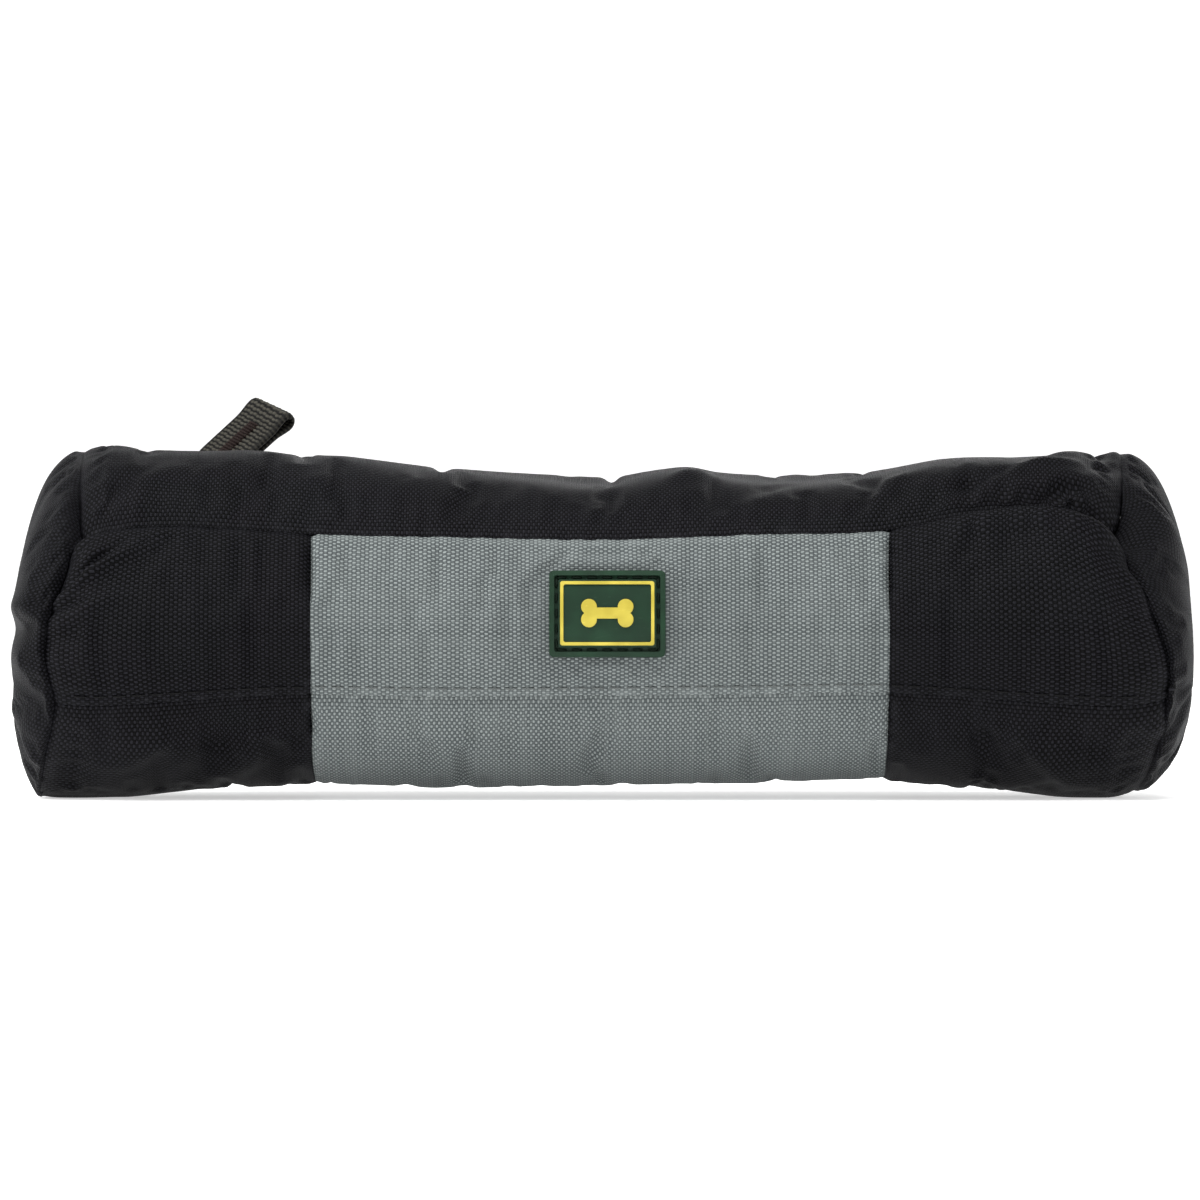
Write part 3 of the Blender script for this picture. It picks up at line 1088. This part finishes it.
def stitch(start, end, up, radius, rise):
    """One stitch, arched over the cloth with both ends pulled down into it."""
    start, end, up = (np.asarray(value, float) for value in (start, end, up))
    share = np.linspace(0, 1, 9)
    arch = rise * np.sin(share * math.pi) ** 0.6 - radius * 1.2 * (np.abs(2 * share - 1) ** 8)
    centres = start + (end - start) * share[:, None] + arch[:, None] * up
    return tube_ring(centres, radius, 0.85, up)


STITCH_SINK = -0.16
STITCH_LENGTH, STITCH_GAP = 2.3, 0.7
STITCH_ANGLE = BASE_SEAM + 1.7 / MM_PER_DEGREE


def topstitch(name, angle_at, x_from, x_to, material):
    """A row of stitches along the roll, laid on the finished cover."""
    step = STITCH_LENGTH + STITCH_GAP
    count = int((x_to - x_from) / step)
    starts = x_from + (x_to - x_from - count * step) / 2 + np.arange(count) * step
    angles = np.array((angle_at - 0.4, angle_at, angle_at + 0.4))
    tubes = []
    for x in starts:
        places = np.array((x - 0.3, x, x + STITCH_LENGTH, x + STITCH_LENGTH + 0.3))
        _, _, point, normal = cover.tube(places, angles)
        up = normal[1, 1]
        tubes.append(stitch(point[1, 1] + up * STITCH_SINK, point[2, 1] + up * STITCH_SINK, up, 0.16, 0.12))
    mesh = tubes_mesh(name, tubes)
    mesh.materials.append(material)
    return finish_object(name, mesh, ROLL)


topstitch("topstitch_left", STITCH_ANGLE, -HALF_LENGTH + 3, -HALF_CENTRE, dark_thread)
topstitch("topstitch_centre", STITCH_ANGLE, -HALF_CENTRE, HALF_CENTRE, grey_thread)
topstitch("topstitch_right", STITCH_ANGLE, HALF_CENTRE, HALF_LENGTH - 3, dark_thread)
topstitch("topstitch_zip_upper", ZIP_FRONT_EDGE - 2.2 / MM_PER_DEGREE, -HALF_LENGTH + 3, HALF_LENGTH - 3,
          dark_thread)
topstitch("topstitch_zip_lower", ZIP_BACK_EDGE + 2.2 / MM_PER_DEGREE, -HALF_LENGTH + 3, HALF_LENGTH - 3,
          dark_thread)


# ---------------------------------------------------------------- zip

def at_zip(x, side, height):
    """Point at a place along the zip, across it and out from the roll's axis."""
    a = math.radians(ZIP_ANGLE)
    out = np.array((0, -math.cos(a), math.sin(a)))
    across = np.array((0, math.sin(a), math.cos(a)))
    return np.array((x, AXIS_Y, AXIS_Z)) + across * side + out * height


ZIP_OUT = at_zip(0, 0, 1) - at_zip(0, 0, 0)
TEETH_LOW, TEETH_HIGH = box_mm("zip_teeth_upper")
CHAIN_START, CHAIN_END = TEETH_LOW[0], TEETH_HIGH[0]
TAPE_RADIUS = RADIUS - 1.0
TAPE_HALF = 9.0
COIL_OUTER, COIL_PITCH, COIL_WIRE = 2.75, 2.0, 0.42


def make_tape(side):
    name = "zip_tape_upper" if side > 0 else "zip_tape_lower"
    x_lines = lines_through([-HALF_LENGTH + 1.5, HALF_LENGTH - 1.5], 0.8)
    across = np.linspace(0.1, TAPE_HALF, 24)
    x_grid, s_grid = np.meshgrid(x_lines, across, indexing="ij")
    parted = np.clip((x_grid - CHAIN_END) / 12, 0, 1) * 0.9
    s_grid = s_grid + parted * np.clip(1 - s_grid / TAPE_HALF, 0, 1)
    angle = ZIP_ANGLE - side * s_grid / MM_PER_DEGREE
    end_drop = 2.4 * hump(HALF_LENGTH - np.abs(x_grid), 5)
    height = TAPE_RADIUS - 0.12 - end_drop + 0.12 * np.sin(x_grid * 0.45 + side) * np.exp(-s_grid / 3)
    point = height[..., None] * outward(angle)
    point[..., 0] = x_grid
    point[..., 1] += AXIS_Y
    point[..., 2] += AXIS_Z
    mesh = grid_mesh(name, point, np.stack((s_grid, x_grid), axis=-1), flip=side > 0)
    store_value(mesh, "seam_gap", np.full(point.shape[:2], 10.0))
    mesh.materials.append(tape_cloth)
    obj = finish_object(name + "_cloth", mesh, ROLL)
    thicken(obj, 0.45)
    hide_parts(name)


def coil_loop(x, side):
    """One turn of the coil: out along the top, round its head past the middle, and back underneath."""
    base = TAPE_RADIUS + 0.45
    line = [(0.0, COIL_OUTER, 0.25), (0.0, 1.9, 0.95), (0.05, 0.6, 1.1), (0.12, -0.35, 1.0),
            (0.3, -0.75, 0.7),
            (0.48, -0.35, 0.45), (0.55, 0.6, 0.3), (0.62, 1.9, 0.2), (0.8, COIL_OUTER, 0.1),
            (1.3, COIL_OUTER + 0.15, 0.1),
            (1.9, COIL_OUTER, 0.2)]
    shares = np.arange(len(line))
    fine = np.linspace(0, len(line) - 1, 26)
    columns = [smooth_curve(list(zip(shares, column)))(fine) for column in zip(*line)]
    return [at_zip(x + dx, -side * across, base + height) for dx, across, height in zip(*columns)]


def make_teeth(side):
    name = "zip_teeth_upper" if side > 0 else "zip_teeth_lower"
    first = CHAIN_START + COIL_PITCH / 4 + (COIL_PITCH / 2 if side > 0 else 0) - 0.3
    count = int((CHAIN_END - CHAIN_START - 1.5) / COIL_PITCH)
    tubes = [tube_ring(coil_loop(first + i * COIL_PITCH, side), COIL_WIRE, 0.9,
                       ZIP_OUT) for i in range(count)]
    mesh = tubes_mesh(name, tubes)
    mesh.materials.append(coil_plastic)
    obj = finish_object(name + "_coil", mesh, ROLL)
    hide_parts(name)
    rows = []
    for x in first + COIL_PITCH * (0.5 + np.arange(count)):
        for across in (1.5, 2.1):
            height = TAPE_RADIUS + 0.45 + 1.02
            rows.append(stitch(at_zip(x - 0.9, -side * across, height),
                               at_zip(x + 0.9, -side * across, height),
                               ZIP_OUT, 0.14, 0.35))
    mesh = tubes_mesh(name + "_thread", rows)
    mesh.materials.append(dark_thread)
    finish_object(name + "_thread", mesh, ROLL)


for side in (-1, 1):
    make_tape(side)
    make_teeth(side)


def dress(node, material, bevel):
    """Rounds a rigid CAD piece's edges a little and gives it its finish."""
    obj = frame["nodes"][node]
    obj.data.materials.clear()
    obj.data.materials.append(material)
    weld = obj.modifiers.new("weld", "WELD")
    weld.merge_threshold = 0.00001
    round_off = obj.modifiers.new("rounding", "BEVEL")
    round_off.width = bevel * MM
    round_off.segments = 3
    round_off.limit_method = "ANGLE"
    round_off.angle_limit = math.radians(28)
    round_off.harden_normals = False
    obj.modifiers.new("normals", "WEIGHTED_NORMAL")


for node in ("zip_slider", "zip_pull", "zip_bottom_stop", "zip_top_stops"):
    dress(node, metal_paint, 0.28)
dress("label_base", label_rubber, 0.24)
dress("label_frame", label_print, 0.09)
dress("label_emblem", label_print, 0.1)


# ---------------------------------------------------------------- label thread

LABEL_FLOOR_RADIUS = RADIUS + 0.9
LABEL_HEIGHT = 14.9
GROOVE_INSET = 1.22


def on_label(u, v, radius):
    angle = LABEL_ANGLE + math.degrees(math.asin(v / radius))
    return np.array((LABEL_X + u, AXIS_Y, AXIS_Z)) + radius * outward(np.array(angle))


def make_label_thread():
    half_x = (LABEL_HIGH[0] - LABEL_LOW[0]) / 2 - GROOVE_INSET
    half_y = LABEL_HEIGHT / 2 - GROOVE_INSET
    length, gap, radius = 1.7, 0.75, 0.24
    tubes = []
    for horizontal, reach, offset in ((True, half_x, half_y), (False, half_y, half_x)):
        count = int((2 * reach + gap) / (length + gap))
        step = (2 * reach + gap) / count
        for i in range(count):
            start = -reach + i * step
            end = start + step - gap
            for sign in (-1, 1):
                ends = [(place, sign * offset) for place in (start, end)]
                if not horizontal:
                    ends = [(v, u) for u, v in ends]
                a, b = (on_label(u, v, LABEL_FLOOR_RADIUS) for u, v in ends)
                middle_v = (ends[0][1] + ends[1][1]) / 2
                up = outward(np.array(LABEL_ANGLE + math.degrees(math.asin(middle_v / RADIUS))))
                tubes.append(stitch(a, b, up, radius, 0.28))
    mesh = tubes_mesh("label_thread", tubes)
    mesh.materials.append(label_thread)
    obj = finish_object("label_groove_thread", mesh, ROLL)
    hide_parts("label_stitching")


make_label_thread()


# ---------------------------------------------------------------- webbing loop

WEB_WIDTH, WEB_THICK = 10.0, 1.15
LOOP_LENGTH, LOOP_STEM, LOOP_EYE = 30.7, 25.0, 0.65
RIB_PITCH, RIB_COLUMN = 0.93, 0.9
EDGE_POINTS = 57
TAB_BOX_HALF = 3.4
LOOP_LEAN, LOOP_SWING, LOOP_TWIST = 44.0, -21.7, 82.0
HINGE = JOINT_AT["loop_flex"]
TAB_LOW, TAB_HIGH = box_mm("loop_tab")
LOCAL_X = np.array((1.0, 0.0, 0.0))
LOCAL_Y = at_zip(0, -1, 0) - at_zip(0, 0, 0)
LOCAL_OUT = ZIP_OUT


def local(x, y, z):
    """Direction given along the zip, across it and out of the roll."""
    return LOCAL_X * x - LOCAL_Y * y + LOCAL_OUT * z


def loop_direction(swing):
    lean = math.radians(LOOP_LEAN)
    turn = math.radians(swing)
    return local(math.cos(lean) * math.cos(turn), math.cos(lean) * math.sin(turn), math.sin(lean))


def loop_section(reach):
    """The strap's middle, the direction of its width and the way its face points, this far from its foot."""
    share = np.clip(reach / (LOOP_LENGTH / 2), 0, 1)
    run = loop_direction(LOOP_SWING * share)
    width = local(0, -1, 0)
    width = width - run * width.dot(run)
    width /= np.linalg.norm(width)
    face = np.cross(run, width)
    twist = math.radians(LOOP_TWIST * share)
    turned = width * math.cos(twist) + face * math.sin(twist)
    place = HINGE + loop_direction(LOOP_SWING) * reach
    return place, turned, np.cross(run, turned)


def strap_path():
    """Middle line of one ply, up one face of the loop, round its eye and down the other."""
    rows = []
    tab_run = np.linspace(TAB_LOW[0] + 0.2, TAB_HIGH[0] - 1.0, 26)
    lift = {1: 1.5 * WEB_THICK, -1: 0.5 * WEB_THICK}
    for ply in (1, -1):
        part = []
        for x in tab_run:
            part.append((at_zip(x, 0, TAPE_RADIUS + 0.1 + lift[ply]), local(0, -1, 0), local(0, 0, 1) * ply))
        for reach in np.linspace(2.2, LOOP_LENGTH - WEB_THICK - LOOP_EYE, 90):
            place, width, face = loop_section(reach)
            open_share = np.clip((reach - LOOP_STEM) / (LOOP_LENGTH - WEB_THICK - LOOP_EYE - LOOP_STEM), 0,
                                 1)
            apart = WEB_THICK / 2 + LOOP_EYE * open_share * open_share * (3 - 2 * open_share)
            part.append((place - face * apart * ply, width, -face * ply))
        rows.append(part)
    tip_place, width, face = loop_section(LOOP_LENGTH - WEB_THICK - LOOP_EYE)
    run = np.cross(width, face)
    run = run if run.dot(loop_direction(LOOP_SWING)) > 0 else -run
    bend = []
    for turn in np.linspace(0, math.pi, 26)[1:-1]:
        out = -face * math.cos(turn) + run * math.sin(turn)
        bend.append((tip_place + out * (LOOP_EYE + WEB_THICK / 2), width, out))
    return rows[0] + bend + rows[1][::-1]


def smooth_rows(values, passes):
    values = np.array(values)
    for _ in range(passes):
        values[1:-1] = (values[:-2] + 2 * values[1:-1] + values[2:]) / 4
    return values


def make_webbing():
    path = strap_path()
    centre = smooth_rows([row[0] for row in path], 6)
    width = smooth_rows([row[1] for row in path], 6)
    out = smooth_rows([row[2] for row in path], 6)
    length = np.concatenate(([0], np.cumsum(np.linalg.norm(np.diff(centre, axis=0), axis=1))))
    fine = np.arange(0, length[-1], 0.16)
    centre, width, out = (np.stack([np.interp(fine, length, column) for column in value.T], axis=-1)
                          for value in (centre, width, out))
    width /= np.linalg.norm(width, axis=1, keepdims=True)
    run = np.gradient(centre, axis=0)
    face = np.cross(run, width)
    face /= np.linalg.norm(face, axis=1, keepdims=True)
    face *= np.sign(np.sum(face * out, axis=1, keepdims=True))
    half_w, half_t = WEB_WIDTH / 2, WEB_THICK / 2
    edge = np.linspace(-1, 1, EDGE_POINTS)
    side_turn = np.linspace(0, math.pi, 7)[1:-1]
    across = np.concatenate((edge * (half_w - half_t), half_w - half_t + half_t * np.sin(side_turn),
                             -edge * (half_w - half_t), -(half_w - half_t) - half_t * np.sin(side_turn)))
    level = np.concatenate((np.full(EDGE_POINTS, half_t), half_t * np.cos(side_turn),
                            np.full(EDGE_POINTS, -half_t), -half_t * np.cos(side_turn)))
    across, level = np.append(across, across[0]), np.append(level, level[0])
    column = across / RIB_COLUMN
    stagger = (np.floor(column) % 2) * 0.16 + column * 0.05
    ribs = np.abs(np.sin(math.pi * (fine[:, None] / RIB_PITCH + stagger[None])))
    columns = np.abs(np.cos(math.pi * (column - np.floor(column) - 0.5)))[None]
    selvage = np.clip((np.abs(across) - (half_w - 1.1)) / 0.3, 0, 1)[None]
    rib = ribs ** 0.8 * (0.72 + 0.28 * columns)
    rib = rib * (1 - 0.5 * selvage) + 0.2 * selvage
    relief = 0.34 * (rib - 0.7)
    level = level[None] + relief * np.sign(level)[None] * (np.abs(level) > 0.3)[None]
    points = centre[:, None] + across[None, :, None] * width[:, None]
    points = points + level[..., None] * face[:, None]
    uv = np.stack(np.broadcast_arrays(across[None], fine[:, None]), axis=-1)
    mesh = grid_mesh("webbing", points, uv)
    store_value(mesh, "rib_height", rib)
    work = bmesh.new()
    work.from_mesh(mesh)
    bmesh.ops.remove_doubles(work, verts=work.verts, dist=1e-7)
    ends = [e for e in work.edges if e.is_boundary]
    bmesh.ops.holes_fill(work, edges=ends)
    bmesh.ops.recalc_face_normals(work, faces=work.faces)
    work.to_mesh(mesh)
    work.free()
    mesh.materials.append(webbing)
    obj = bpy.data.objects.new("webbing_loop", mesh)
    bpy.context.scene.collection.objects.link(obj)
    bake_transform(obj)
    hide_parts("loop_tab", "carry_loop")


def make_loop_thread():
    """Close stitches across both faces of the strap, and a box of stitches on its sewn-down end."""
    tubes = []
    for reach in np.arange(2.6, LOOP_STEM, 0.62):
        place, width, face = loop_section(reach)
        for ply in (1, -1):
            up = -face * ply
            spot = place + up * (WEB_THICK - 0.06)
            tubes.append(stitch(spot - width * 1.35, spot + width * 1.35, up, 0.26, 0.24))
    mesh = tubes_mesh("loop_thread", tubes)
    mesh.materials.append(brown_thread)
    obj = finish_object("loop_column_thread", mesh, LOOP)
    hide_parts("loop_stitching")
    tubes = []
    level = TAPE_RADIUS + 2 * WEB_THICK + 0.1
    low_x, high_x = TAB_LOW[0] + 1.2, TAB_HIGH[0] - 1.2
    for i in range(4):
        step = (high_x - low_x) / 4
        for y in (-TAB_BOX_HALF, TAB_BOX_HALF):
            x = low_x + i * step
            tubes.append(stitch(at_zip(x + 0.2, y, level), at_zip(x + step - 0.2, y, level), ZIP_OUT, 0.2,
                                0.16))
        for x in (low_x, high_x):
            y = -TAB_BOX_HALF + i * TAB_BOX_HALF / 2
            tubes.append(stitch(at_zip(x, y + 0.2, level), at_zip(x, y + 1.5, level), ZIP_OUT, 0.2, 0.16))
    mesh = tubes_mesh("tab_thread", tubes)
    mesh.materials.append(brown_thread)
    obj = finish_object("tab_box_thread", mesh, ROLL)
    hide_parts("tab_stitching")


make_webbing()
make_loop_thread()


# ---------------------------------------------------------------- studio

VIEW_WIDTH = 208.4
VIEW_CENTRE_Z = 34.9
CAMERA_DISTANCE = 1300.0
CAMERA_ELEVATION = 0.4
SENSOR = 36.0
LIGHT_AIM = Vector((0, 0, 0.03))
# Each light: name, place and size in metres, power in watts
LIGHTS = [
    ("top_light", (-0.2, -0.35, 1.1), (1.4, 1.0), 25),
    ("front_light", (-0.8, -0.7, 0.3), (0.5, 0.4), 2.0),
    ("fill_light", (-0.2, -1.4, 0.12), (1.0, 0.16), 1.2),
    ("back_light", (0.4, 1.5, 0.5), (1.0, 0.5), 3),
    ("left_light", (-1.1, -0.1, 0.3), (0.6, 0.5), 7.0),
    ("right_light", (1.1, -0.1, 0.3), (0.6, 0.5), 4.8),
]


def make_camera():
    data = bpy.data.cameras.new("camera")
    data.sensor_width = SENSOR
    data.lens = SENSOR * CAMERA_DISTANCE / VIEW_WIDTH
    data.clip_end = 100
    camera = bpy.data.objects.new("camera", data)
    bpy.context.scene.collection.objects.link(camera)
    tilt = math.radians(CAMERA_ELEVATION)
    target = Vector((0, AXIS_Y * MM - 0.02, VIEW_CENTRE_Z * MM))
    back = Vector((0, -math.cos(tilt), math.sin(tilt)))
    camera.location = target + back * CAMERA_DISTANCE * MM
    camera.rotation_euler = (math.pi / 2 - tilt, 0, 0)
    bpy.context.scene.camera = camera


def area_light(name, place, size, power):
    data = bpy.data.lights.new(name, "AREA")
    data.shape = "RECTANGLE"
    data.size, data.size_y = size
    data.energy = power
    lamp = bpy.data.objects.new(name, data)
    bpy.context.scene.collection.objects.link(lamp)
    lamp.location = place
    lamp.rotation_euler = (LIGHT_AIM - Vector(place)).to_track_quat("-Z", "Y").to_euler()


def make_floor():
    """Pale sweep: flat under the roll, curving up behind it."""
    width, front, back, radius, height = 5.0, -3.0, 3.0, 0.8, 2.4
    outline = [(front, 0.0), (back - radius, 0.0)]
    outline += [(back - radius + radius * math.sin(a), radius - radius * math.cos(a))
                for a in np.linspace(0, math.pi / 2, 24)[1:]]
    outline.append((back, height))
    points = np.array([[(x, y, z) for x in np.linspace(-width, width, 3)] for y, z in outline]) / MM
    mesh = grid_mesh("floor", points, points[..., :2], flip=True)
    floor = bpy.data.objects.new("floor", mesh)
    bpy.context.scene.collection.objects.link(floor)
    g, shader, material = start_material("pale_floor")
    cloud = g.noise(g.node("ShaderNodeNewGeometry").outputs["Position"], 1.5, 1.0)
    g.put(shader.inputs["Base Color"], g.mix(cloud, (0.9, 0.9, 0.9, 1), (0.92, 0.92, 0.92, 1)))
    shader.inputs["Roughness"].default_value = 0.9
    shader.inputs["Emission Color"].default_value = (1, 1, 1, 1)
    shader.inputs["Emission Strength"].default_value = 0.5
    mesh.materials.append(material)


def make_light():
    world = bpy.data.worlds.new("studio")
    world.use_nodes = True
    world.node_tree.nodes["Background"].inputs["Color"].default_value = (1, 1, 1, 1)
    world.node_tree.nodes["Background"].inputs["Strength"].default_value = 0.3
    bpy.context.scene.world = world
    for name, place, size, power in LIGHTS:
        area_light(name, place, size, power)


make_camera()
make_floor()
make_light()
bpy.context.scene.view_settings.view_transform = "Standard"
